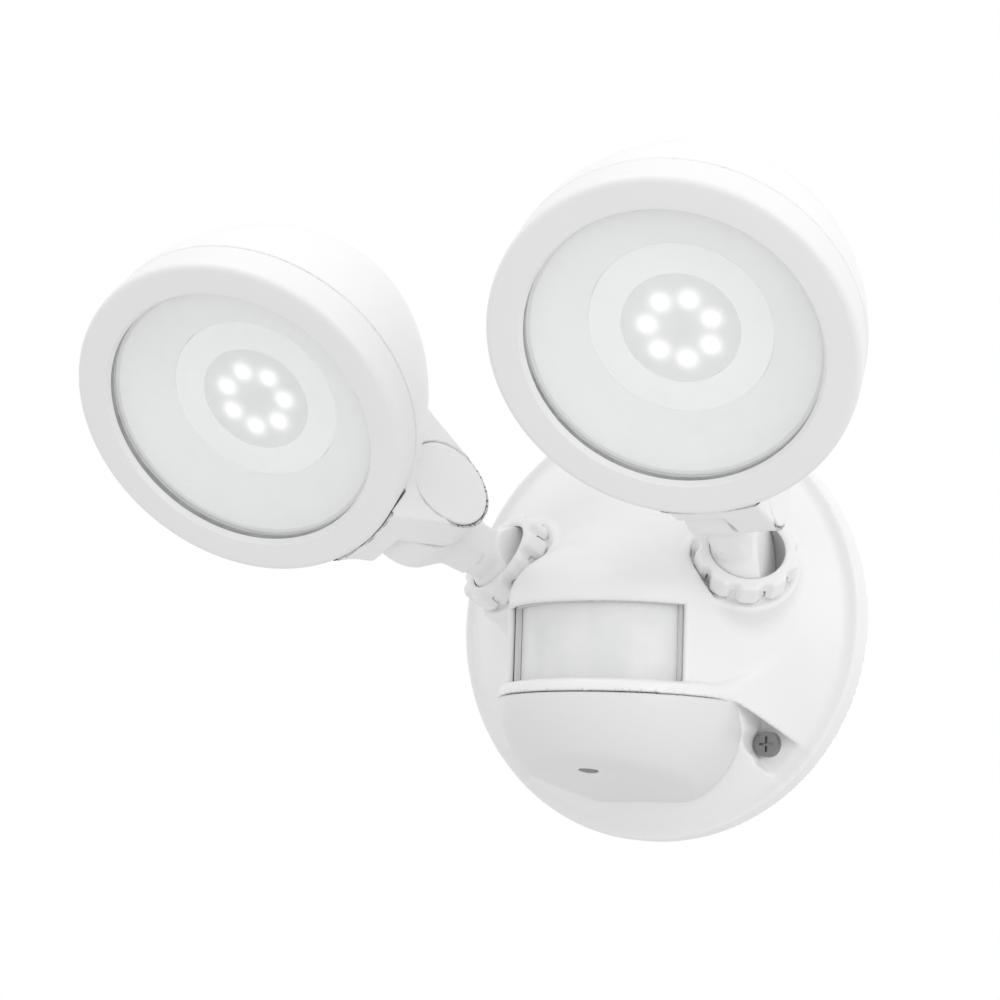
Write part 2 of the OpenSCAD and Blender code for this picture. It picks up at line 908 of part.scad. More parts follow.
module lamp_housing(side) {
    color("white")
        difference() {
            union() {
                at_lamp(side) {
                    difference() {
                        union() {
                            shell_solid(0);
                            translate([0, 0, shell_front - collar_wall])
                                cylinder(r = collar_r, h = collar_front - shell_front + collar_wall);
                        }
                        difference() {
                            shell_solid(lamp_wall);
                            // Keeps the collar and the root that joins it to the shell
                            translate([0, 0, shell_front - collar_wall])
                                cylinder(r = lamp_r, h = bezel_depth);
                        }
                        translate([0, 0, shell_front - 2 * collar_wall])
                            cylinder(r = collar_r - collar_wall, h = bezel_depth);
                    }
                    intersection() {
                        shell_solid(0);
                        sink_posts()
                            mirror([0, 0, 1])
                                cylinder(r = sink_post_r, h = lamp_l);
                    }
                }
                intersection() {
                    at_lamp(side)
                        shell_solid(0);
                    at_hinge(side)
                        ear_room(lamp_wall);
                }
                difference() {
                    at_hinge(side)
                        neck_solid();
                    at_lamp(side) {
                        shell_solid(lamp_wall);
                        translate([0, 0, shell_front - cut / 2])
                            cylinder(r = lamp_r + slide_gap, h = bezel_depth + 2 * cut);
                    }
                }
            }
            at_hinge(side)
                ear_room(0);
            at_hinge(side)
                along_bolt() {
                    cylinder(r = bolt_r + pin_gap, h = hinge_half);
                    translate([0, 0, bolt_head_x - pin_gap])
                        cylinder(r = bolt_head_r + slide_gap, h = hinge_half);
                    translate([0, 0, hinge_half - cap_t - pin_gap])
                        cylinder(r = cap_r + seat_gap, h = cap_t + cut);
                }
            at_lamp(side)
                sink_posts()
                    mirror([0, 0, 1])
                        translate([0, 0, -cut])
                            cylinder(r = sink_screw_r + pin_gap, h = sink_screw_l + cut);
        }
}

module bezel(side) {
    color("white")
        at_lamp(side)
            rotate_extrude()
                polygon([
                    [lens_r, lens_front], [lens_r + lens_bevel, 0], [lamp_r - face_edge, 0],
                    [lamp_r - 0.4 * face_edge, -0.35 * face_edge], [lamp_r, -1.3 * face_edge],
                    [lamp_r, -2.6 * face_edge], [bezel_rear_r, -bezel_depth],
                    [bezel_rear_r - bezel_wall, -bezel_depth], [bezel_rear_r - bezel_wall, -bezel_web],
                    [lens_r + lens_lap + seat_gap, -bezel_web], [lens_r + lens_lap + seat_gap, lens_front]
                ]);
}

module lens(side) {
    color("lightcyan")
        at_lamp(side)
            translate([0, 0, lens_back])
                cylinder(r = lens_r + lens_lap, h = lens_t - pin_gap);
}

module lens_gasket(side) {
    color("dimgray")
        at_lamp(side)
            translate([0, 0, lens_back - lens_gasket_t])
                difference() {
                    cylinder(r = lens_r + lens_lap, h = lens_gasket_t);
                    translate([0, 0, -cut])
                        cylinder(r = lens_r, h = lens_gasket_t + 2 * cut);
                }
}

// Flared wall from the pale disc out to the lens
module reflector(side) {
    color("gainsboro")
        at_lamp(side)
            rotate_extrude()
                polygon([
                    [disc_r + seat_gap, disc_front - carrier_t], [disc_r + seat_gap, disc_front],
                    [lens_r - reflector_wall, reflector_front], [lens_r + lens_lap, reflector_front],
                    [lens_r + lens_lap, reflector_front - reflector_wall],
                    [lens_r, reflector_front - reflector_wall],
                    [disc_r + seat_gap + reflector_wall, disc_front - carrier_t]
                ]);
}

module at_leds()
    for (i = [0:led_count - 1])
        rotate(90 + (i + 0.5) * 360 / led_count)
            translate([led_ring_r, 0, 0]) children();

module led_carrier(side) {
    color("whitesmoke")
        at_lamp(side)
            translate([0, 0, disc_front - carrier_t])
                difference() {
                    cylinder(r = disc_r, h = carrier_t);
                    translate([0, 0, carrier_t - core_sink])
                        cylinder(r = core_r, h = cut);
                    at_leds()
                        translate([0, 0, -cut])
                            cylinder(r = dimple_r, h = carrier_t + 2 * cut);
                }
}

module led_board(side) {
    color("honeydew")
        at_lamp(side)
            translate([0, 0, board_front - board_t])
                cylinder(r = board_r, h = board_t);
}

module leds(side) {
    color("khaki")
        at_lamp(side)
            at_leds()
                translate([0, 0, board_front]) {
                    translate([-led_w / 2, -led_w / 2, 0])
                        cube([led_w, led_w, led_t]);
                    translate([0, 0, led_t])
                        intersection() {
                            sphere(r = led_dome_r, $fn = 32);
                            cylinder(r = led_w, h = led_w);
                        }
                }
}

module heat_sink(side) {
    color("silver")
        at_lamp(side)
            difference() {
                translate([0, 0, sink_front - sink_t])
                    union() {
                        cylinder(r = sink_r, h = sink_t);
                        for (i = [0:fin_count - 1])
                            translate([(i - (fin_count - 1) / 2) * fin_pitch - fin_t / 2, -fin_l, -fin_l])
                                cube([fin_t, 2 * fin_l, fin_l + cut]);
                    }
                translate([0, 0, -cut])
                    sink_posts()
                        cylinder(r = sink_screw_r + seat_gap, h = sink_t + 3 * cut);
            }
}

module sink_screws(side) {
    color("silver")
        at_lamp(side)
            sink_posts() {
                translate([0, 0, sink_t + seat_gap])
                    cylinder(r = sink_head_r, h = sink_head_h);
                translate([0, 0, -sink_screw_l + cut])
                    cylinder(r = sink_screw_r, h = sink_screw_l + sink_t - cut + seat_gap);
            }
}

mounting_plate();
wall_gasket();
canopy_cover();
sensor_chin();
pir_lens();
lens_frame();
pir_element();
sensor_board();
photocell_window();
light_sensor();
driver_board();
transformer();
capacitors();
relay();
terminal_block();
cover_screws();
screw_seals();
lock_ring(LEFT);  // left_lock_ring
lock_ring(RIGHT);  // right_lock_ring
ball_seat(LEFT);  // left_ball_seat
ball_seat(RIGHT);  // right_ball_seat
arm(LEFT);  // left_arm
arm(RIGHT);  // right_arm
hinge_bolt(LEFT);  // left_hinge_bolt
hinge_bolt(RIGHT);  // right_hinge_bolt
hinge_nut(LEFT);  // left_hinge_nut
hinge_nut(RIGHT);  // right_hinge_nut
friction_washer(LEFT);  // left_friction_washer
friction_washer(RIGHT);  // right_friction_washer
hinge_cap(LEFT);  // left_hinge_cap
hinge_cap(RIGHT);  // right_hinge_cap
lamp_housing(LEFT);  // left_lamp_housing
lamp_housing(RIGHT);  // right_lamp_housing
bezel(LEFT);  // left_bezel
bezel(RIGHT);  // right_bezel
lens(LEFT);  // left_lens
lens(RIGHT);  // right_lens
lens_gasket(LEFT);  // left_lens_gasket
lens_gasket(RIGHT);  // right_lens_gasket
reflector(LEFT);  // left_reflector
reflector(RIGHT);  // right_reflector
led_carrier(LEFT);  // left_led_carrier
led_carrier(RIGHT);  // right_led_carrier
led_board(LEFT);  // left_led_board
led_board(RIGHT);  // right_led_board
leds(LEFT);  // left_leds
leds(RIGHT);  // right_leds
heat_sink(LEFT);  // left_heat_sink
heat_sink(RIGHT);  // right_heat_sink
sink_screws(LEFT);  // left_sink_screws
sink_screws(RIGHT);  // right_sink_screws
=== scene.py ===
# Wall floodlight with a motion sensor: a round canopy, a half-round sensor over a rounded chin,
# and bowl-shaped lamps on ball-jointed arms. Written in the order in which it is put together.
import math

import bpy
import json
import numpy as np
from mathutils import Matrix, Vector


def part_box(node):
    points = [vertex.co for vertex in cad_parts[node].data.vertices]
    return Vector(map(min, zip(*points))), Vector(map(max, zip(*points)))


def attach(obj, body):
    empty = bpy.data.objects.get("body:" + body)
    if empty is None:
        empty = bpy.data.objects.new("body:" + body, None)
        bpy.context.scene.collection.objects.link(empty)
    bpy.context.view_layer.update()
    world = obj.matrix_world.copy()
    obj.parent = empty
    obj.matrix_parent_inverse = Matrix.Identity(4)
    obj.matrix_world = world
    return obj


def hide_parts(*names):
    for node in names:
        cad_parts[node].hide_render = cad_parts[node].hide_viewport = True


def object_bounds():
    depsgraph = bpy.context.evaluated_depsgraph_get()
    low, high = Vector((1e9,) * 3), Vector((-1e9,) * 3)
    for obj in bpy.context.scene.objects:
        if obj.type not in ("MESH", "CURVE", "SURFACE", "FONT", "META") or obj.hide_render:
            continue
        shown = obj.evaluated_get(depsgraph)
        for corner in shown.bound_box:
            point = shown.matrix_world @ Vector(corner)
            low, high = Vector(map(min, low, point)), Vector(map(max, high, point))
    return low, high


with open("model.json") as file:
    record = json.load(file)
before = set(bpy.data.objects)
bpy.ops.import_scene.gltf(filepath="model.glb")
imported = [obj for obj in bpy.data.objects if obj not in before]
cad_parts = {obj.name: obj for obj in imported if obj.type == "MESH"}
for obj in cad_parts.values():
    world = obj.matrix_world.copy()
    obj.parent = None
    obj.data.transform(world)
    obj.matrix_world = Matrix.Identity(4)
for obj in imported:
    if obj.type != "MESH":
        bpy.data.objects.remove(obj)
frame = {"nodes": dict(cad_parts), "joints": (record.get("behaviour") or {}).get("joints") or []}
cad_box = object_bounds()
NODES = frame["nodes"]
JOINTS = {joint["name"]: joint for joint in frame["joints"]}

# ---- Studio -------------------------------------------------------------------------------
# A pale floor below the wall light, an even white surround, and a large soft light overhead
# with another from the right. The camera looks up a little from the right.
CAMERA_TARGET = Vector((-0.0464, -0.030, 0.0384))
CAMERA_DISTANCE = 1.0
CAMERA_SWING = math.radians(28.4)
CAMERA_DROP = math.radians(8.3)
CAMERA_ROLL = math.radians(1.9)
CAMERA_LENS = 110.95
FLOOR_BELOW = 0.35
SURROUND_STRENGTH = 1.0
TOP_LIGHT_WATTS = 2.0
SIDE_LIGHT_WATTS = 2.6

towards_camera = Vector((
    math.sin(CAMERA_SWING) * math.cos(CAMERA_DROP),
    -math.cos(CAMERA_SWING) * math.cos(CAMERA_DROP),
    -math.sin(CAMERA_DROP),
))
level_right = Vector((math.cos(CAMERA_SWING), math.sin(CAMERA_SWING), 0))
level_up = towards_camera.cross(level_right)
camera_right = math.cos(CAMERA_ROLL) * level_right + math.sin(CAMERA_ROLL) * level_up
camera_up = math.cos(CAMERA_ROLL) * level_up - math.sin(CAMERA_ROLL) * level_right
camera = bpy.data.objects.new("camera", bpy.data.cameras.new("camera"))
camera.data.lens = CAMERA_LENS
camera.data.sensor_width = 36
camera.data.clip_start = 0.05
camera.matrix_world = Matrix.Translation(CAMERA_TARGET + CAMERA_DISTANCE * towards_camera) @ Matrix(
    (camera_right, camera_up, towards_camera)).transposed().to_4x4()
bpy.context.scene.collection.objects.link(camera)
bpy.context.scene.camera = camera
bpy.context.scene.view_settings.view_transform = "Standard"


def soft_light(name, place, size, watts):
    """A square light of the given size that points at the camera's target."""
    lamp = bpy.data.lights.new(name, "AREA")
    lamp.size = size
    lamp.energy = watts
    holder = bpy.data.objects.new(name, lamp)
    holder.location = place
    holder.rotation_euler = (CAMERA_TARGET - Vector(place)).to_track_quat("-Z", "Y").to_euler()
    bpy.context.scene.collection.objects.link(holder)


soft_light("top_light", (-0.25, -0.55, 1.15), 1.0, TOP_LIGHT_WATTS)
soft_light("side_light", (1.1, -0.6, 0.3), 0.8, SIDE_LIGHT_WATTS)
surround = bpy.data.worlds.new("surround")
surround.use_nodes = True
surround.node_tree.nodes["Background"].inputs["Color"].default_value = (1, 1, 1, 1)
surround.node_tree.nodes["Background"].inputs["Strength"].default_value = SURROUND_STRENGTH
bpy.context.scene.world = surround


def shader_nodes(name):
    """A new material's node tree, its principled shader, and object coordinates in metres."""
    material = bpy.data.materials.new(name)
    material.use_nodes = True
    tree = material.node_tree
    place = tree.nodes.new("ShaderNodeTexCoord").outputs["Object"]
    return material, tree, tree.nodes["Principled BSDF"], place


def noise(tree, place, size_mm, detail=3.0):
    """Noise whose lumps are about size_mm across."""
    node = tree.nodes.new("ShaderNodeTexNoise")
    node.inputs["Scale"].default_value = 1000 / size_mm
    node.inputs["Detail"].default_value = detail
    tree.links.new(place, node.inputs["Vector"])
    return node.outputs["Fac"]


def spread(tree, value, low, high):
    """The noise's middle range stretched from low to high."""
    node = tree.nodes.new("ShaderNodeMapRange")
    node.inputs["From Min"].default_value = 0.3
    node.inputs["From Max"].default_value = 0.7
    node.inputs["To Min"].default_value = low
    node.inputs["To Max"].default_value = high
    tree.links.new(value, node.inputs["Value"])
    return node.outputs["Result"]


def bumped(tree, shader, value, depth_mm):
    """The value pressed into the surface, depth_mm deep."""
    node = tree.nodes.new("ShaderNodeBump")
    node.inputs["Distance"].default_value = depth_mm / 1000
    tree.links.new(value, node.inputs["Height"])
    tree.links.new(node.outputs["Normal"], shader.inputs["Normal"])


def moulded(name, colour, shade=0.96, roughness=0.35, spread_by=0.05, grain_mm=0.5, depth_mm=0.01,
            coat=0.0, glow=0.0):
    """Moulded plastic: two near colours in soft clouds, uneven gloss and a fine grain. A glow
    is painted light: emission that brightens pale plastic near the LEDs, which is no lamp."""
    material, tree, shader, place = shader_nodes(name)
    mix = tree.nodes.new("ShaderNodeMix")
    mix.data_type = "RGBA"
    mix.inputs["A"].default_value = (*colour, 1)
    mix.inputs["B"].default_value = (*[shade * c for c in colour], 1)
    tree.links.new(spread(tree, noise(tree, place, 60), 0, 1), mix.inputs["Factor"])
    tree.links.new(mix.outputs["Result"], shader.inputs["Base Color"])
    gloss = spread(tree, noise(tree, place, 9), roughness - spread_by, roughness + spread_by)
    tree.links.new(gloss, shader.inputs["Roughness"])
    bumped(tree, shader, noise(tree, place, grain_mm, 2), depth_mm)
    shader.inputs["Coat Weight"].default_value = coat
    shader.inputs["Coat Roughness"].default_value = 0.3
    # Painted light: the glow makes the plastic emit in its own colour.
    if glow:
        tree.links.new(mix.outputs["Result"], shader.inputs["Emission Color"])
        shader.inputs["Emission Strength"].default_value = glow
    return material


def finish(material, *names):
    """Gives CAD nodes a material."""
    for name in names:
        for slot in NODES[name].material_slots:
            slot.material = material


floor_material = moulded("studio_floor", (0.75, 0.75, 0.75), roughness=0.7, grain_mm=3)
floor_reach = 6.0
floor_low = cad_box[0][2] - FLOOR_BELOW
floor_mesh = bpy.data.meshes.new("floor")
floor_mesh.from_pydata(
    [(-floor_reach, -floor_reach, floor_low), (floor_reach, -floor_reach, floor_low),
     (floor_reach, floor_reach, floor_low), (-floor_reach, floor_reach, floor_low)], [], [(0, 1, 2, 3)])
floor_mesh.materials.append(floor_material)
floor = bpy.data.objects.new("floor", floor_mesh)
bpy.context.scene.collection.objects.link(floor)

# ---- Mounting plate and gasket ------------------------------------------------------------
# A pressed, zinc-plated steel disc that screws to the electrical box through its two slots.
# A ring of black foam rubber seals the canopy's rim against the wall.


def metal(name, colour, roughness, brush=(1.0, 1.0, 1.0), depth_mm=0.004):
    """Bare or plated metal with fine marks, drawn out along the axis with the smallest brush."""
    material, tree, shader, place = shader_nodes(name)
    stretch = tree.nodes.new("ShaderNodeMapping")
    stretch.inputs["Scale"].default_value = brush
    tree.links.new(place, stretch.inputs["Vector"])
    marks = noise(tree, stretch.outputs["Vector"], 0.6, 5)
    shader.inputs["Base Color"].default_value = (*colour, 1)
    shader.inputs["Metallic"].default_value = 1.0
    tree.links.new(spread(tree, marks, roughness - 0.08, roughness + 0.1), shader.inputs["Roughness"])
    bumped(tree, shader, marks, depth_mm)
    return material


zinc = metal("zinc_plate", (0.62, 0.63, 0.65), 0.38, brush=(0.08, 1.0, 1.0))
foam_rubber = moulded("foam_rubber", (0.03, 0.03, 0.03), roughness=0.85, grain_mm=0.4, depth_mm=0.08)
finish(zinc, "mounting_plate")
finish(foam_rubber, "wall_gasket")

# ---- Driver parts -------------------------------------------------------------------------
# A green driver board with a transformer, a relay and capacitors stands inside the canopy,
# and the terminal block for the supply wires sits below the plate's opening.


def circuit_board(name, mask, track):
    """Solder mask over copper: cell edges that stand a little proud show as tracks."""
    material, tree, shader, place = shader_nodes(name)
    cells = tree.nodes.new("ShaderNodeTexBrick")
    cells.inputs["Scale"].default_value = 420
    cells.inputs["Mortar Size"].default_value = 0.03
    cells.inputs["Color1"].default_value = (*mask, 1)
    cells.inputs["Color2"].default_value = (*[0.8 * c for c in mask], 1)
    cells.inputs["Mortar"].default_value = (*track, 1)
    tree.links.new(place, cells.inputs["Vector"])
    tree.links.new(cells.outputs["Color"], shader.inputs["Base Color"])
    shader.inputs["Roughness"].default_value = 0.4
    bumped(tree, shader, cells.outputs["Fac"], 0.03)
    return material


green_board = circuit_board("green_board", (0.02, 0.16, 0.06), (0.06, 0.3, 0.12))
finish(green_board, "driver_board", "sensor_board")
finish(moulded("winding_tape", (0.55, 0.36, 0.06), 0.7, 0.5, grain_mm=1.2, depth_mm=0.05), "transformer")
finish(moulded("relay_case", (0.03, 0.09, 0.35), 0.9, 0.4), "relay")
finish(moulded("capacitor_sleeve", (0.02, 0.02, 0.06), 0.8, 0.3), "capacitors")
finish(moulded("terminal_body", (0.75, 0.72, 0.62), 0.94, 0.45), "terminal_block")

# ---- Canopy cover -------------------------------------------------------------------------
# One moulding in satin white plastic: rim, shallow dome, half-drum tower for the sensor with
# its open window, lip below it, two channels for the cover screws and two round ports.
MM = 0.001
CANOPY_R = 70.0
RIM_DEPTH = 8.0
STEP_R = 65.5
DOME_OUT = 36.0
CANOPY_WALL = 2.4
TOWER_WALL = 2.2
SENSOR_OUT = 33.0
TOWER_R = 35.5
LIP_R = 38.0
WINDOW_BOTTOM = -23.3
LIP_BOTTOM = -27.8
CHIN_H = 33.8
CHIN_SLOPE = math.radians(11)
CHIN_BACK_OUT = 10.0
CHIN_BACK_Z = LIP_BOTTOM - 0.93 * CHIN_H
SENSOR_BLEND = 16.0
BROW_TOP = 3.0
ROOF_H = 20.0
WINDOW_HALF_ANGLE = math.radians(60)
TROUGH_R = 6.5
TROUGH_END = 46.0
TROUGH_ANGLE = math.radians(44)
SCREW_RING = 57.0
SCREW_HOLE_R = 5.0
BOSS_R = 17.8
BOSS_TOP = -2.0
SPIGOT_R = 14.6
SPIGOT_TOP = 2.6
RING_R = 16.5
BALL_R = 13.0
SIDES = {"left": -1, "right": 1}


def unit(vector):
    """The vector at length 1."""
    vector = np.array(vector, float)
    return vector / np.linalg.norm(vector)


def port_frame(side):
    """Ball centre in mm, and the port's axes as columns: level, up the wall, out along the port."""
    joint = JOINTS[side + "_ring_turn"]
    out = unit(joint["axis"])
    level = unit(np.cross((0, 0, 1), out))
    return np.array(joint["pos_m"]) / MM, np.column_stack((level, np.cross(out, level), out))


def either(a, b, blend=0.0):
    """Union of two distance fields, with a fillet about as wide as blend where they meet."""
    if not blend:
        return np.minimum(a, b)
    near = np.maximum(blend - np.abs(a - b), 0)
    return np.minimum(a, b) - near * near / (4 * blend)


def both(a, b, blend=0.0):
    """Intersection of two distance fields, with the edge rounded by about blend."""
    return -either(-a, -b, blend)


def surface_net(field, low, high, step):
    """Surface of a distance field by surface nets: one point for each grid cell that the surface
    crosses, at the mean of the cell's edge crossings, and a quad round each crossed grid edge."""
    counts = np.maximum(np.ceil((np.array(high) - low) / step).astype(int), 2) + 1
    lines = [np.linspace(low[i], high[i], counts[i]) for i in range(3)]
    grid = np.stack(np.meshgrid(*lines, indexing="ij"), -1)
    value = field(grid.reshape(-1, 3)).reshape(counts)
    cells = tuple(counts - 1)
    total = np.zeros(cells + (3,))
    crossings = np.zeros(cells)
    for axis in range(3):
        ahead = [slice(None)] * 3
        ahead[axis] = slice(1, None)
        behind = [slice(None)] * 3
        behind[axis] = slice(None, -1)
        a, b = value[tuple(behind)], value[tuple(ahead)]
        crossed = (a < 0) != (b < 0)
        share = np.where(crossed, a / np.where(crossed, a - b, 1), 0)[..., None]
        point = grid[tuple(behind)] * (1 - share) + grid[tuple(ahead)] * share
        others = [i for i in range(3) if i != axis]
        for shift_a in (0, 1):
            for shift_b in (0, 1):
                corner = [slice(None)] * 3
                for i, shift in zip(others, (shift_a, shift_b)):
                    corner[i] = slice(shift, counts[i] - 1 + shift)
                hit = crossed[tuple(corner)]
                crossings += hit
                total += point[tuple(corner)] * hit[..., None]
    used = crossings > 0
    index = np.full(cells, -1)
    index[used] = np.arange(used.sum())
    points = total[used] / crossings[used][:, None]
    quads = []
    for axis in range(3):
        u, v = [i for i in range(3) if i != axis]
        behind = [slice(None)] * 3
        behind[axis] = slice(None, -1)
        ahead = [slice(None)] * 3
        ahead[axis] = slice(1, None)
        starts = (value < 0)[tuple(behind)]
        ends = (value < 0)[tuple(ahead)]
        edge = np.argwhere(starts != ends)
        corners = []
        for back_u, back_v in ((1, 1), (0, 1), (0, 0), (1, 0)):
            place = edge.copy()
            place[:, u] -= back_u
            place[:, v] -= back_v
            corners.append(index[tuple(place.T)])
        quad = np.stack(corners, 1)
        turned = starts[tuple(edge.T)] ^ (axis == 1)
        quad[turned] = quad[turned][:, ::-1]
        quads.append(quad)
    return points, np.concatenate(quads)


def slope_of(field, points, small=0.05):
    """The field's gradient by central differences."""
    return np.stack([(field(points + small * axis) - field(points - small * axis)) / (2 * small)
                     for axis in np.eye(3)], 1)


def settled(points, faces, field, rounds=6, reach=0.3):
    """Evens out the net, then puts its points on the surface: each round moves every point part of
    the way to the middle of its neighbours and back to the surface along the field's slope."""
    ends = np.concatenate([faces[:, [i, (i + 1) % 4]] for i in range(4)])
    ends = np.concatenate([ends, ends[:, ::-1]])
    count = np.bincount(ends[:, 0], minlength=len(points))[:, None]
    for again in range(rounds):
        if again < rounds - 2:
            middle = np.stack([np.bincount(ends[:, 0], points[ends[:, 1], i], len(points))
                               for i in range(3)], 1) / count
            points = points + 0.6 * (middle - points)
        slope = slope_of(field, points)
        move = (field(points) / np.maximum((slope ** 2).sum(1), 0.2))[:, None] * slope
        length = np.linalg.norm(move, axis=1, keepdims=True)
        points = points - move * np.minimum(1, reach / np.maximum(length, 1e-9))
    return points


def slope_shaded(piece, points, field, axes=None):
    """Shades a piece by its field's slope, which is smoother than the net's faces."""
    normals = slope_of(field, points, 0.12)
    if axes is not None:
        normals = normals @ axes.T
    normals /= np.maximum(np.linalg.norm(normals, axis=1, keepdims=True), 1e-9)
    piece.data.normals_split_custom_set_from_vertices(normals.tolist())


def piece_from(name, points, faces, material, body, replaced=(), slot=None, origin=None, axes=None):
    """A smooth mesh from points in mm, turned so that its faces look outwards, riding on a body."""
    if axes is not None:
        points = points @ axes.T + origin
    points = np.asarray(points, float) * MM
    faces = np.asarray(faces)
    corner = points[faces]
    volume = 0.0
    for i in range(1, faces.shape[1] - 1):
        volume += np.einsum("ij,ij->i", corner[:, 0], np.cross(corner[:, i], corner[:, i + 1])).sum()
    if volume < 0:
        faces = faces[:, ::-1]
    mesh = bpy.data.meshes.new(name)
    mesh.vertices.add(len(points))
    mesh.vertices.foreach_set("co", points.astype(np.float32).ravel())
    mesh.loops.add(faces.size)
    mesh.loops.foreach_set("vertex_index", faces.astype(np.int32).ravel())
    mesh.polygons.add(len(faces))
    mesh.polygons.foreach_set("loop_start", np.arange(0, faces.size, faces.shape[1], dtype=np.int32))
    mesh.polygons.foreach_set("use_smooth", np.ones(len(faces), bool))
    mesh.update(calc_edges=True)
    mesh.validate()
    mesh.materials.append(material)
    piece = bpy.data.objects.new(name, mesh)
    bpy.context.scene.collection.objects.link(piece)
    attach(piece, body)
    if replaced:
        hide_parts(*replaced)
    return piece


def drum(x, out, r):
    """Distance from an upright wall that is round in front of the sensor's axis and flat at its sides."""
    return np.hypot(x, np.maximum(out - SENSOR_OUT, 0)) - r


def dome_field(p, inset):
    """A short cylinder for the rim under a cap of a sphere, joined by a small step."""
    rho, out = np.hypot(p[:, 0], p[:, 2]), -p[:, 1]
    rise = DOME_OUT - RIM_DEPTH
    big_r = (STEP_R ** 2 + rise ** 2) / (2 * rise)
    cap = np.hypot(rho, out - DOME_OUT + big_r) - big_r + inset
    cap = both(cap, rho - STEP_R - 0.6 + inset / 2)
    rim = both(rho - CANOPY_R + inset, out - RIM_DEPTH + inset, 1.6)
    return either(cap, rim, 1.2)


def tower_field(p, inset):
    """A half drum with a quarter-ellipse roof, and a wider lip below the window."""
    x, out, z = p[:, 0], -p[:, 1], p[:, 2]
    q = np.hypot(x, np.maximum(out - SENSOR_OUT, 0))
    r, h = TOWER_R - inset, ROOF_H - inset
    w = np.maximum(z - BROW_TOP, 0)
    e = np.sqrt((q / r) ** 2 + (w / h) ** 2)
    slope = np.sqrt((q / r ** 2) ** 2 + (w / h ** 2) ** 2)
    roof = (e - 1) * e / np.maximum(slope, 1e-4)
    upper = both(roof, WINDOW_BOTTOM - 1 - inset - z)
    low = LIP_BOTTOM - (1 if inset else 0)
    lip = both(drum(x, out, LIP_R - inset), z - WINDOW_BOTTOM + inset, 3.0 - inset)
    lip = both(lip, low - z, 0.3)
    return either(upper, lip, 0.6)


def bowl_below_lip(p, inset):
    """Half an ellipsoid below the lip, carried straight back, cut off by a sloping plane."""
    x, out, z = p[:, 0], -p[:, 1], p[:, 2]
    q, low = np.hypot(x, np.maximum(out - SENSOR_OUT, 0)), np.maximum(LIP_BOTTOM - z, 0)
    under = CHIN_BACK_Z + (out - CHIN_BACK_OUT) * math.tan(CHIN_SLOPE) - z
    r, h = LIP_R - inset, CHIN_H - inset
    e = np.sqrt((q / r) ** 2 + (low / h) ** 2)
    slope = np.sqrt((q / r ** 2) ** 2 + (low / h ** 2) ** 2)
    return both((e - 1) * e / np.maximum(slope, 1e-4), under * math.cos(CHIN_SLOPE) + inset, 3.0 - inset)


def trough_field(p, grow, floor_out):
    """The channels over the cover screws: round at the inner end, open outwards, flat floor. They
    stop at the sensor's side wall, but for a round hole over each screw's head."""
    x, out, z = np.abs(p[:, 0]), -p[:, 1], p[:, 2]
    along = x * math.cos(TROUGH_ANGLE) - z * math.sin(TROUGH_ANGLE)
    across = x * math.sin(TROUGH_ANGLE) + z * math.cos(TROUGH_ANGLE)
    channel = np.hypot(np.minimum(along - TROUGH_END, 0), across) - TROUGH_R - grow
    channel = both(channel, LIP_R - grow - drum(x, out, 0), 1.0)
    head = np.hypot(along - SCREW_RING, across) - SCREW_HOLE_R - grow
    return both(either(channel, head, 1.0), floor_out - out, 2.0)


def canopy_field(p):
    """Outer shape less its inside, with the window, channels and ports cut in."""
    x, out, z = p[:, 0], -p[:, 1], p[:, 2]
    outer = either(dome_field(p, 0), tower_field(p, 0), SENSOR_BLEND)
    ports = []
    for side in SIDES:
        centre, axes = port_frame(side)
        q = (p - centre) @ axes
        ports.append((np.hypot(q[:, 0], q[:, 1]), q[:, 2], np.linalg.norm(p - centre, axis=1)))
    for rho, up, _ in ports:
        outer = either(outer, both(rho - BOSS_R, np.maximum(up - BOSS_TOP, -20 - up), 1.6), 3.0)
    outer = both(outer, -out)
    inner = either(dome_field(p, CANOPY_WALL), tower_field(p, TOWER_WALL))
    chin = np.maximum(np.maximum(bowl_below_lip(p, 0), z - LIP_BOTTOM), 0.3 - dome_field(p, 0))
    shell = np.maximum(both(outer, -inner), 0.15 - chin)
    shell = either(shell, both(outer, trough_field(p, CANOPY_WALL, RIM_DEPTH - CANOPY_WALL)))
    for rho, up, _ in ports:
        shell = either(shell, both(outer, np.maximum(rho - BOSS_R, -18 - up)))
    shell = both(shell, -trough_field(p, 0, RIM_DEPTH), 1.2)
    sector = np.abs(x) * math.cos(WINDOW_HALF_ANGLE) - (out - SENSOR_OUT) * math.sin(WINDOW_HALF_ANGLE)
    window = np.maximum(sector, np.abs(z - WINDOW_BOTTOM / 2) + WINDOW_BOTTOM / 2)
    shell = both(shell, -window, 1.4)
    for rho, up, ball in ports:
        shell = both(shell, -both(rho - RING_R - 0.3, -1.3 - up), 0.8)
        shell = either(shell, np.maximum(rho - SPIGOT_R, np.abs(up) - SPIGOT_TOP))
        shell = both(shell, -np.minimum(ball - BALL_R - 0.3, np.maximum(rho - BALL_R - 0.3, -up)))
    return shell


satin_white = moulded("satin_white", (0.86, 0.86, 0.86), 0.985, 0.36, 0.04, 1.2, 0.002, coat=0.1)
canopy_low, canopy_high = (np.array(c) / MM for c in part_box("canopy_cover"))
canopy_points, canopy_faces = surface_net(canopy_field, canopy_low - 1.5, canopy_high + 1.5, 0.95)
canopy_points = settled(canopy_points, canopy_faces, canopy_field)
canopy = piece_from("canopy", canopy_points, canopy_faces, satin_white, "base", ["canopy_cover"],
                    "white_gloss_plastic")
slope_shaded(canopy, canopy_points, canopy_field)

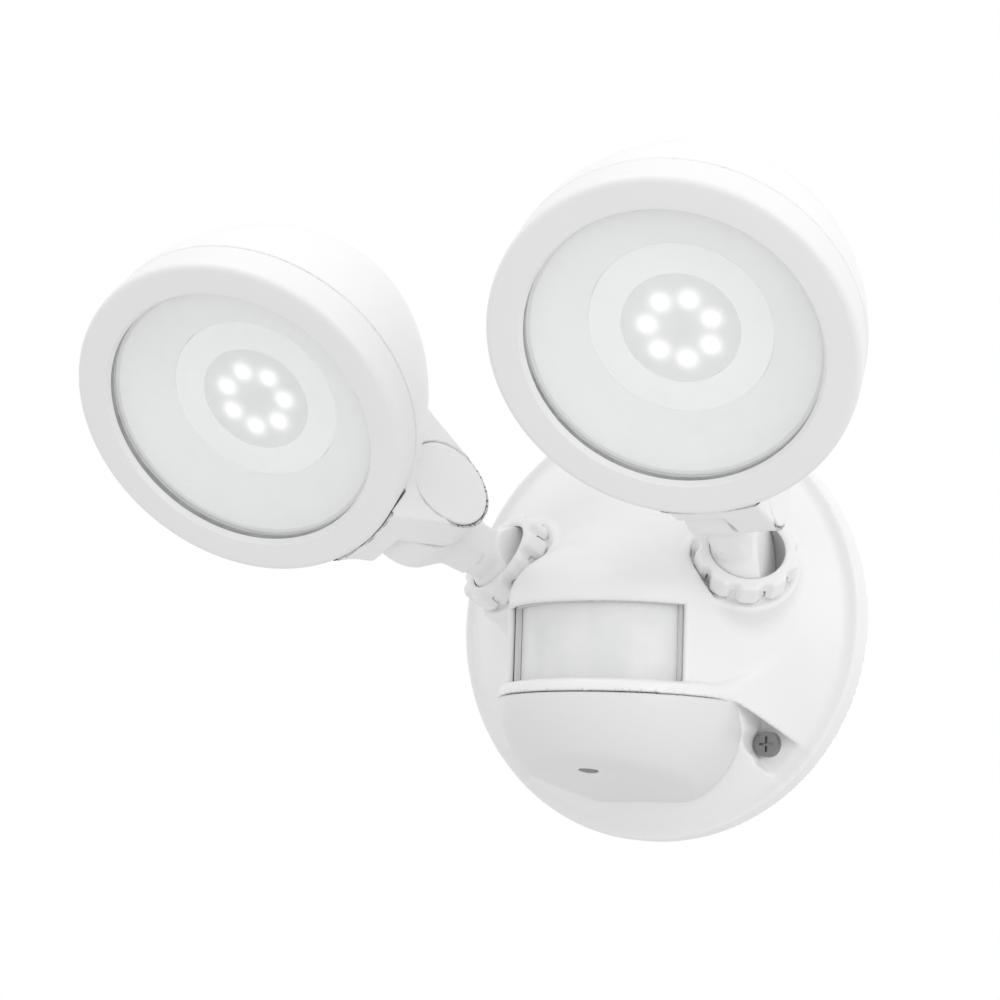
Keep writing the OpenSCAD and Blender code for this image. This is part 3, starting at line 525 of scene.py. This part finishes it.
# ---- Cover screws -------------------------------------------------------------------------
# Two cross-headed steel screws with rubber seals clamp the cover to the mounting plate.
finish(metal("screw_steel", (0.28, 0.28, 0.28), 0.35), "cover_screws")
finish(moulded("screw_seal", (0.8, 0.8, 0.8), 0.9, 0.6, grain_mm=0.3, depth_mm=0.02), "screw_seals")

# ---- Sensor -------------------------------------------------------------------------------
# A thin milky half tube with upright lens strips closes the window in front of the motion
# element; its grey frame shows as the window's jamb. A rounded chin plugs in below the lip.
CHIN_WALL = 2.0
CHIN_COLLAR_R = 35.65
COLLAR_H = 2.15
PHOTOCELL_R = 3.0
PHOTOCELL_OUT = 53.0


def milky_plastic():
    """Thin milky plastic with soft upright strips; a little light passes through it."""
    material, tree, shader, place = shader_nodes("milky_plastic")
    around = tree.nodes.new("ShaderNodeSeparateXYZ")
    tree.links.new(place, around.inputs["Vector"])
    strips = tree.nodes.new("ShaderNodeMath")
    strips.operation = "MULTIPLY"
    strips.inputs[1].default_value = 900
    tree.links.new(around.outputs["X"], strips.inputs[0])
    wave = tree.nodes.new("ShaderNodeMath")
    wave.operation = "SINE"
    tree.links.new(strips.outputs["Value"], wave.inputs[0])
    mix = tree.nodes.new("ShaderNodeMix")
    mix.data_type = "RGBA"
    mix.inputs["A"].default_value = (0.8, 0.805, 0.81, 1)
    mix.inputs["B"].default_value = (0.88, 0.88, 0.88, 1)
    tree.links.new(spread(tree, noise(tree, place, 14), 0, 1), mix.inputs["Factor"])
    tree.links.new(mix.outputs["Result"], shader.inputs["Base Color"])
    tree.links.new(spread(tree, noise(tree, place, 5), 0.3, 0.42), shader.inputs["Roughness"])
    shader.inputs["Alpha"].default_value = 0.92
    bumped(tree, shader, wave.outputs["Value"], 0.05)
    return material


def chin_field(p):
    """The bowl below the lip, hollow, with a collar that plugs into the lip and a hole for the
    light sensor. It ends where the cover's dome begins."""
    x, out, w = p[:, 0], -p[:, 1], LIP_BOTTOM - p[:, 2]
    q = np.hypot(x, np.maximum(out - SENSOR_OUT, 0))
    shell = np.maximum(both(bowl_below_lip(p, 0), 0.15 - w, 0.3), -bowl_below_lip(p, CHIN_WALL))
    collar = np.abs(q - CHIN_COLLAR_R + CHIN_WALL / 2) - CHIN_WALL / 2
    shell = either(shell, np.maximum(collar, np.maximum(w - CHIN_WALL, -w - COLLAR_H)))
    shell = np.maximum(shell, 0.15 - dome_field(p, 0))
    hole = np.hypot(x, (out - PHOTOCELL_OUT) / math.cos(CHIN_SLOPE)) - PHOTOCELL_R
    return both(shell, -np.maximum(hole, 6 - w), 0.5)


# The chin's white is a darker copy of the canopy's white: painted shade for its downward-facing surface.
chin_white_painted_shade = moulded("chin_white_painted_shade", (0.76, 0.76, 0.765), 0.985, 0.38, 0.04, 1.2, 0.002, coat=0.1)
chin_points, chin_faces = surface_net(
    chin_field, (-LIP_R - 1.5, -SENSOR_OUT - LIP_R - 1.5, CHIN_BACK_Z - 4),
    (LIP_R + 1.5, 0, LIP_BOTTOM + 4.5), 0.7)
chin_points = settled(chin_points, chin_faces, chin_field)
chin = piece_from("chin", chin_points, chin_faces, chin_white_painted_shade, "base", ["sensor_chin"], "pale_plastic")
slope_shaded(chin, chin_points, chin_field)
finish(milky_plastic(), "pir_lens")
finish(moulded("grey_plastic", (0.72, 0.72, 0.73), 0.93, 0.45), "lens_frame")
finish(metal("can_metal", (0.7, 0.68, 0.6), 0.3), "pir_element")
finish(moulded("smoked_plastic", (0.05, 0.05, 0.05), 0.8, 0.2), "photocell_window")
finish(moulded("photocell_ceramic", (0.6, 0.35, 0.2), 0.8, 0.5), "light_sensor")

# ---- Lock rings and ball seats ------------------------------------------------------------
# A scalloped white ring presses each arm's ball into its port; a dark rubber ring below the
# ball holds it by friction.
RING_BOTTOM = -1.0
RING_TOP = 7.0
RING_GROOVES = 10
GROOVE_R = 2.2
GROOVE_AT = 17.0
RING_MOUTH_R = 12.6


def ring_field(p):
    """A short tube with rounded edges, ten half-round grooves and a flared mouth over the ball."""
    rho, z = np.hypot(p[:, 0], p[:, 1]), p[:, 2]
    pitch = 2 * math.pi / RING_GROOVES
    turn = (np.arctan2(p[:, 1], p[:, 0]) + pitch / 2) % pitch - pitch / 2
    groove = np.hypot(rho * np.cos(turn) - GROOVE_AT, rho * np.sin(turn)) - GROOVE_R
    half = (RING_TOP - RING_BOTTOM) / 2
    body = both(both(rho - RING_R, -groove, 1.2), np.abs(z - RING_BOTTOM - half) - half, 1.4)
    ball = np.linalg.norm(p, axis=1) - BALL_R - 0.3
    spigot = np.maximum(rho - SPIGOT_R - 0.05, z - SPIGOT_TOP - 0.05)
    mouth = (rho - RING_MOUTH_R - (z - RING_TOP)) * math.sqrt(0.5)
    return both(body, -np.minimum(np.minimum(ball, spigot), mouth), 0.5)


ring_reach = np.array([RING_R, RING_R, RING_TOP]) + 0.8
ring_points, ring_faces = surface_net(
    ring_field, (-ring_reach[0], -ring_reach[1], RING_BOTTOM - 0.8), ring_reach, 0.42)
ring_points = settled(ring_points, ring_faces, ring_field)
seat_rubber = moulded("seat_rubber", (0.05, 0.05, 0.05), roughness=0.7, grain_mm=0.4, depth_mm=0.03)
for side in SIDES:
    centre, axes = port_frame(side)
    ring = piece_from(side + "_locking_ring", ring_points, ring_faces, satin_white, side + "_ring",
                      [side + "_lock_ring"], "white_gloss_plastic", centre, axes)
    slope_shaded(ring, ring_points, ring_field, axes)
    finish(seat_rubber, side + "_ball_seat")

# ---- Arms ---------------------------------------------------------------------------------
# One white moulding: a ball, a flat web and a round ear that is one half of the lamp's hinge.
ARM_L = 41.2
EAR_R = 16.0
HINGE_SHIFT = 7.5
HINGE_HALF = 13.5
EAR_GAP = 0.9
WEB_W = 8.5
WEB_T = 6.0
WEB_START = 16.0
BOLT_R = 3.05
NUT_R = 5.65
NUT_POCKET = 5.9


def hinge_frame(side):
    """Hinge point in mm and axes as columns: along the bolt, towards the lamp's axis, facing."""
    joint = JOINTS[side + "_lamp_tilt"]
    bolt = unit(joint["axis"])
    glass = NODES[side + "_lens"]
    place = np.array([glass.matrix_world @ v.co for v in glass.data.vertices])
    facing = np.linalg.svd(place - place.mean(0), full_matrices=False)[2][2]
    facing = unit(facing * -np.sign(facing[1]))
    return np.array(joint["pos_m"]) / MM, np.column_stack((bolt, np.cross(facing, bolt), facing))


def arm_frame(side):
    """Ball centre in mm and axes as columns: along the bolt, across the web, along the arm."""
    centre = port_frame(side)[0]
    hinge, axes = hinge_frame(side)
    along = unit(hinge - centre - HINGE_SHIFT * axes[:, 0])
    return centre, np.column_stack((axes[:, 0], np.cross(along, axes[:, 0]), along))


def arm_field(p):
    """Ball, rounded web and ear joined by fillets, less the wire hole, bolt hole and nut pocket."""
    x, y, z = p.T
    ear_rho = np.hypot(y, z - ARM_L)
    web = both(np.abs(x) - WEB_T, np.abs(y) - WEB_W, 4.0)
    web = both(web, np.where(z < WEB_START, np.hypot(x, y) - WEB_W, -WEB_W), 1.0)
    web = np.maximum(web, np.maximum(-z, z - ARM_L))
    ear_low, ear_high = HINGE_SHIFT - HINGE_HALF, HINGE_SHIFT - EAR_GAP / 2
    ear = both(ear_rho - EAR_R, np.maximum(ear_low - x, x - ear_high), 1.2)
    body = either(either(np.linalg.norm(p, axis=1) - BALL_R, web, 0.8), ear, 4.0)
    body = np.maximum(body, x - ear_high)
    holes = np.minimum(np.maximum(np.hypot(x, y) - 5, z), ear_rho - BOLT_R)
    angle = (np.arctan2(y, z - ARM_L) + math.pi / 6) % (math.pi / 3) - math.pi / 6
    nut = np.maximum(ear_rho * np.cos(angle) - NUT_R * math.cos(math.pi / 6), x - ear_low - NUT_POCKET)
    return both(body, -np.minimum(holes, nut), 0.4)


arm_low, arm_high = (-EAR_R - 1, -EAR_R - 1, -BALL_R - 1), (EAR_R + 1, EAR_R + 1, ARM_L + EAR_R + 1)
arm_points, arm_faces = surface_net(arm_field, arm_low, arm_high, 0.6)
arm_points = settled(arm_points, arm_faces, arm_field)
for side in SIDES:
    centre, axes = arm_frame(side)
    arm = piece_from(side + "_jointed_arm", arm_points, arm_faces, satin_white, side + "_arm",
                     [side + "_arm"], "white_gloss_plastic", centre, axes)
    slope_shaded(arm, arm_points, arm_field, axes)

# ---- Lamp housings ------------------------------------------------------------------------
# A white bowl with a hollow neck below it that is the other half of the hinge. A cap covers
# the bolt's head; a fibre washer between the ears gives the hinge its friction.
LAMP_DROP = 62.0
LAMP_FRONT = 34.0
LAMP_R = 54.0
LAMP_L = 82.0
LAMP_WALL = 2.2
SHELL_R = 53.5
SHELL_FRONT = -12.85
SHELL_POWER = 1.7
COLLAR_R = 51.15
COLLAR_WALL = 1.8
COLLAR_FRONT = -6.15
FLARE_FRONT = math.radians(44)
FLARE_BACK = math.radians(10)
NECK_FRONT_Y = 9.0
NECK_REACH = 26.0
EAR_CLEAR = 0.6
CAP_R = 14.8
CAP_T = 1.8
BOLT_HEAD_R = 5.3
BOLT_HEAD_X = 6.15


def bowl_field(p, inset):
    """A superellipse turned about the lamp's axis, open at the front."""
    r, l = SHELL_R - inset, LAMP_L + SHELL_FRONT - inset
    a = np.maximum(np.hypot(p[:, 0], p[:, 1]), 1e-6) / r
    b = np.maximum(SHELL_FRONT - p[:, 2], 1e-6) / l
    e = (a ** SHELL_POWER + b ** SHELL_POWER) ** (1 / SHELL_POWER)
    slope = e ** (1 - SHELL_POWER) * np.hypot(a ** (SHELL_POWER - 1) / r, b ** (SHELL_POWER - 1) / l)
    return (e - 1) / np.maximum(slope, 1e-4)


def neck_field(x, y, z):
    """The neck in the hinge's frame: round at the bolt, flaring to the bowl, edges rounded."""
    front = z * math.cos(FLARE_FRONT) - y * math.sin(FLARE_FRONT) - EAR_R
    back = -z * math.cos(FLARE_BACK) - y * math.sin(FLARE_BACK) - EAR_R
    run = NECK_FRONT_Y + EAR_R * math.sin(FLARE_FRONT)
    top = EAR_R * math.cos(FLARE_FRONT) + run * math.tan(FLARE_FRONT)
    sides = np.maximum(both(front, z - top, 3.0), np.maximum(back, y - NECK_REACH))
    turn = np.arctan2(z, -y)
    at_pin = (turn < math.pi / 2 - FLARE_FRONT) & (turn > FLARE_BACK - math.pi / 2)
    outline = np.where(at_pin, np.hypot(y, z) - EAR_R, sides)
    neck = both(outline, np.abs(x) - HINGE_HALF, 1.2)
    return both(neck, -np.maximum(x - EAR_GAP / 2, y), 0.8)


def housing_field(p):
    """Hollow bowl, collar for the bezel and neck, less the arm's room, the bolt and the cap."""
    x, y, z = p[:, 0], p[:, 1] + LAMP_DROP, p[:, 2] + LAMP_FRONT
    rho, pin = np.hypot(p[:, 0], p[:, 1]), np.hypot(y, z)
    in_front = p[:, 2] - SHELL_FRONT
    outer = bowl_field(p, 0)
    bezel_room = np.maximum(rho - LAMP_R - 0.15, -in_front)
    body = np.maximum(either(outer, neck_field(x, y, z), 6.0), -bezel_room)
    body = both(body, -np.maximum(bowl_field(p, LAMP_WALL), in_front - LAMP_WALL), 0.5)
    collar = np.maximum(np.abs(rho - COLLAR_R + COLLAR_WALL / 2) - COLLAR_WALL / 2,
                        np.maximum(p[:, 2] - COLLAR_FRONT, -2 - in_front))
    pocket = [np.maximum(pin - EAR_R - EAR_CLEAR - wall,
                         np.maximum(-HINGE_HALF - EAR_CLEAR - wall - x, x - EAR_GAP / 2 - wall))
              for wall in (LAMP_WALL, 0)]
    body = either(either(body, collar), both(outer, pocket[0]))
    body = both(body, -pocket[1], 0.8)
    bolt = np.maximum(pin - BOLT_R, -x)
    head = np.maximum(pin - BOLT_HEAD_R, BOLT_HEAD_X - x)
    cap = np.maximum(pin - CAP_R - 0.15, HINGE_HALF - CAP_T - 0.05 - x)
    return both(body, -np.minimum(np.minimum(bolt, head), cap), 0.4)


housing_points, housing_faces = surface_net(
    housing_field, (-SHELL_R - 1, -LAMP_DROP - EAR_R - 1, -LAMP_L - 1), (SHELL_R + 1, SHELL_R + 1, 0), 1.0)
housing_points = settled(housing_points, housing_faces, housing_field)
cap_points, cap_faces = surface_net(
    lambda p: both(np.hypot(p[:, 0], p[:, 1]) - CAP_R, np.abs(p[:, 2] - HINGE_HALF + CAP_T / 2) - CAP_T / 2,
                   0.8),
    (-CAP_R - 1, -CAP_R - 1, HINGE_HALF - CAP_T - 1), (CAP_R + 1, CAP_R + 1, HINGE_HALF + 1), 0.4)
lamps = {}
for side in SIDES:
    hinge, axes = hinge_frame(side)
    lamps[side] = (hinge + axes @ np.array([0, LAMP_DROP, LAMP_FRONT]), axes)
    bowl = piece_from(side + "_bowl", housing_points, housing_faces, satin_white, side + "_lamp",
                      [side + "_lamp_housing"], "white_gloss_plastic", *lamps[side])
    slope_shaded(bowl, housing_points, housing_field, axes)
    piece_from(side + "_bolt_cap", cap_points, cap_faces, satin_white, side + "_lamp",
               [side + "_hinge_cap"], "white_gloss_plastic", hinge, axes[:, [1, 2, 0]])

# ---- Hinge hardware -----------------------------------------------------------------------
# A steel bolt and nut clamp the two ears on a fibre washer.
hinge_steel = metal("hinge_steel", (0.55, 0.55, 0.56), 0.3)
fibre = moulded("fibre_washer", (0.1, 0.07, 0.05), 0.8, 0.7, grain_mm=0.5, depth_mm=0.03)
for side in SIDES:
    finish(hinge_steel, side + "_hinge_bolt", side + "_hinge_nut", side + "_sink_screws")
    finish(fibre, side + "_friction_washer")

# ---- Bezels -------------------------------------------------------------------------------
# A turned-looking white ring with rounded edges and a narrow inner bevel clamps the lens.
LENS_R = 43.2
BEZEL_ROWS = [
    (LENS_R, -2.0, 0), (LENS_R + 0.9, 0, 0.35), (LAMP_R - 0.1, 0, 2.2), (LAMP_R, -3.6, 0),
    (SHELL_R, -12.7, 0.4), (SHELL_R - 2.2, -12.7, 0.3), (SHELL_R - 2.2, -6.0, 0), (LENS_R + 1.75, -6.0, 0),
    (LENS_R + 1.75, -2.0, 0),
]
BEZEL_STEPS = 256


def rounded(rows, per_corner=8):
    """A closed outline from corners (radius, height, rounding): each rounded corner is a quadratic
    curve that starts and ends at the rounding's distance from the corner."""
    outline = []
    for i, (r, z, size) in enumerate(rows):
        here = np.array([r, z])
        if not size:
            outline.append(here)
            continue
        ends = [here + size * unit(np.array(rows[(i + k) % len(rows)][:2]) - here) for k in (-1, 1)]
        for t in np.linspace(0, 1, per_corner):
            outline.append((1 - t) ** 2 * ends[0] + 2 * t * (1 - t) * here + t * t * ends[1])
    return np.array(outline)


def turned(outline, steps):
    """A closed outline of (radius, height) turned about +Z: a ring-shaped grid of quads."""
    turn = np.linspace(0, 2 * math.pi, steps, endpoint=False)[:, None]
    points = np.stack([outline[:, 0] * np.cos(turn), outline[:, 0] * np.sin(turn),
                       outline[:, 1] + 0 * turn], -1)
    index = np.arange(steps * len(outline)).reshape(steps, -1)
    ahead, up = np.roll(index, -1, 0), np.roll(index, -1, 1)
    faces = np.stack([index, ahead, np.roll(ahead, -1, 1), up], -1)
    return points.reshape(-1, 3), faces.reshape(-1, 4)


def sharp_kept(piece, degrees=35):
    """Edges sharper than the angle stay crisp under smooth shading."""
    piece.data.set_sharp_from_angle(angle=math.radians(degrees))


# The bezel's white is a slightly darker copy of the canopy's white: painted shade for its downward-facing
# front.
bezel_white_painted_shade = moulded("bezel_white_painted_shade", (0.83, 0.83, 0.83), 0.985, 0.36, 0.04, 1.2, 0.002, coat=0.1)
bezel_points, bezel_faces = turned(rounded(BEZEL_ROWS), BEZEL_STEPS)
for side in SIDES:
    sharp_kept(piece_from(side + "_face_ring", bezel_points, bezel_faces, bezel_white_painted_shade, side + "_lamp",
                          [side + "_bezel"], "bezel_plastic", *lamps[side]))

# ---- Lenses, reflectors and LED boards ----------------------------------------------------
# Behind a lightly frosted lens a flared white wall leads to a pale disc; in its sunken middle
# seven LEDs in a ring glow softly through small domes.
LED_RING_R = 9.8
LED_COUNT = 7
PLATE_R = 17.3
PLATE_FLOOR = -14.75
PLATE_T = 0.5
LENS_H = 0.7
SPOT_R = 1.9
PLATE_RINGS = 56
PLATE_STEPS = 168
LENS_VEIL = 0.2
SPOT_GLOW = 1.0
PLATE_GLOW = 0.06


def frosted_lens():
    """Clear plastic with a faint white frosting, uneven in gloss and strength."""
    material, tree, shader, place = shader_nodes("frosted_lens")
    tint = tree.nodes.new("ShaderNodeMix")
    tint.data_type = "RGBA"
    tint.inputs["A"].default_value = (0.92, 0.93, 0.94, 1)
    tint.inputs["B"].default_value = (0.88, 0.89, 0.9, 1)
    tree.links.new(spread(tree, noise(tree, place, 30), 0, 1), tint.inputs["Factor"])
    tree.links.new(tint.outputs["Result"], shader.inputs["Base Color"])
    tree.links.new(spread(tree, noise(tree, place, 12), 0.22, 0.3), shader.inputs["Roughness"])
    tree.links.new(spread(tree, noise(tree, place, 25), LENS_VEIL - 0.02, LENS_VEIL + 0.02),
                   shader.inputs["Alpha"])
    bumped(tree, shader, noise(tree, place, 0.6), 0.004)
    return material


def glowing_silicone():
    """Pale silicone lit from below: the glow follows the mesh's own "spots" attribute."""
    material, tree, shader, place = shader_nodes("glowing_silicone")
    spots = tree.nodes.new("ShaderNodeAttribute")
    spots.attribute_name = "spots"
    glow = tree.nodes.new("ShaderNodeMapRange")
    glow.inputs["To Min"].default_value = PLATE_GLOW
    glow.inputs["To Max"].default_value = SPOT_GLOW
    tree.links.new(spots.outputs["Fac"], glow.inputs["Value"])
    tree.links.new(glow.outputs["Result"], shader.inputs["Emission Strength"])
    shader.inputs["Emission Color"].default_value = (1, 1, 1, 1)
    mix = tree.nodes.new("ShaderNodeMix")
    mix.data_type = "RGBA"
    mix.inputs["A"].default_value = (0.85, 0.85, 0.85, 1)
    mix.inputs["B"].default_value = (0.81, 0.81, 0.81, 1)
    tree.links.new(spread(tree, noise(tree, place, 6), 0, 1), mix.inputs["Factor"])
    tree.links.new(mix.outputs["Result"], shader.inputs["Base Color"])
    tree.links.new(spread(tree, noise(tree, place, 1.5), 0.3, 0.4), shader.inputs["Roughness"])
    bumped(tree, shader, noise(tree, place, 0.6), 0.004)
    return material


def optic_plate():
    """A round plate with seven low lenses: a grid over distance from the middle and angle for the
    top, whose height and glow are a sum of bell curves over the LEDs, and a flat grid below."""
    share = np.linspace(0, 1, PLATE_RINGS + 1)[1:, None]
    turn = np.linspace(0, 2 * math.pi, PLATE_STEPS, endpoint=False)
    x, y = (PLATE_R * share * np.cos(turn)).ravel(), (PLATE_R * share * np.sin(turn)).ravel()
    led = math.pi / 2 + (np.arange(LED_COUNT)[:, None] + 0.5) * 2 * math.pi / LED_COUNT
    away = (x - LED_RING_R * np.cos(led)) ** 2 + (y - LED_RING_R * np.sin(led)) ** 2
    bell = np.exp(-away / (2 * SPOT_R ** 2)).sum(0)
    top = np.column_stack((x, y, PLATE_FLOOR + PLATE_T + LENS_H * bell))
    low = np.column_stack((x, y, 0 * x + PLATE_FLOOR))
    points = np.concatenate([top, low, [[0, 0, PLATE_FLOOR + PLATE_T], [0, 0, PLATE_FLOOR]]])
    grid = np.arange(len(x)).reshape(PLATE_RINGS, PLATE_STEPS)
    side = np.roll(grid, -1, 1)
    quads = np.stack([grid[:-1], grid[1:], side[1:], side[:-1]], -1).reshape(-1, 4)
    rim = np.stack([grid[-1], grid[-1] + len(x), side[-1] + len(x), side[-1]], -1)
    middle = np.stack([0 * grid[0] + 2 * len(x), grid[0], side[0]], -1)
    under = np.stack([0 * grid[0] + 2 * len(x) + 1, side[0] + len(x), grid[0] + len(x)], -1)
    quads = np.concatenate([quads, quads[:, ::-1] + len(x), rim])
    faces = np.concatenate([quads[:, [0, 1, 2]], quads[:, [0, 2, 3]], middle, under])
    return points, faces, np.concatenate([bell, 0 * bell, [0, 0]])


plate_points, plate_faces, spots = optic_plate()
silicone = glowing_silicone()
# The reflector and the LED disc glow a little: painted light that brightens the lamp's inside behind the
# lens.
reflector_white = moulded("reflector_white", (0.9, 0.9, 0.9), 0.98, 0.5, glow=0.1)
disc_white_painted_glow = moulded("disc_white_painted_glow", (0.92, 0.92, 0.92), 0.985, 0.5, glow=0.17)
lens_finish = frosted_lens()
gasket_rubber = moulded("gasket_rubber", (0.5, 0.5, 0.5), roughness=0.7, grain_mm=0.4, depth_mm=0.03)
phosphor = moulded("led_phosphor", (0.85, 0.8, 0.45), 0.9, 0.4)
white_mask = circuit_board("white_mask", (0.75, 0.75, 0.72), (0.65, 0.65, 0.62))
cast_aluminium = metal("cast_aluminium", (0.6, 0.6, 0.61), 0.5, depth_mm=0.02)
for side in SIDES:
    finish(lens_finish, side + "_lens")
    finish(gasket_rubber, side + "_lens_gasket")
    finish(reflector_white, side + "_reflector")
    finish(disc_white_painted_glow, side + "_led_carrier")
    finish(white_mask, side + "_led_board")
    finish(phosphor, side + "_leds")
    finish(cast_aluminium, side + "_heat_sink")
    plate = piece_from(side + "_led_optic", plate_points, plate_faces, silicone, side + "_lamp",
                       origin=lamps[side][0], axes=lamps[side][1])
    sharp_kept(plate)
    plate.data.attributes.new("spots", "FLOAT", "POINT").data.foreach_set("value", spots.astype(np.float32))
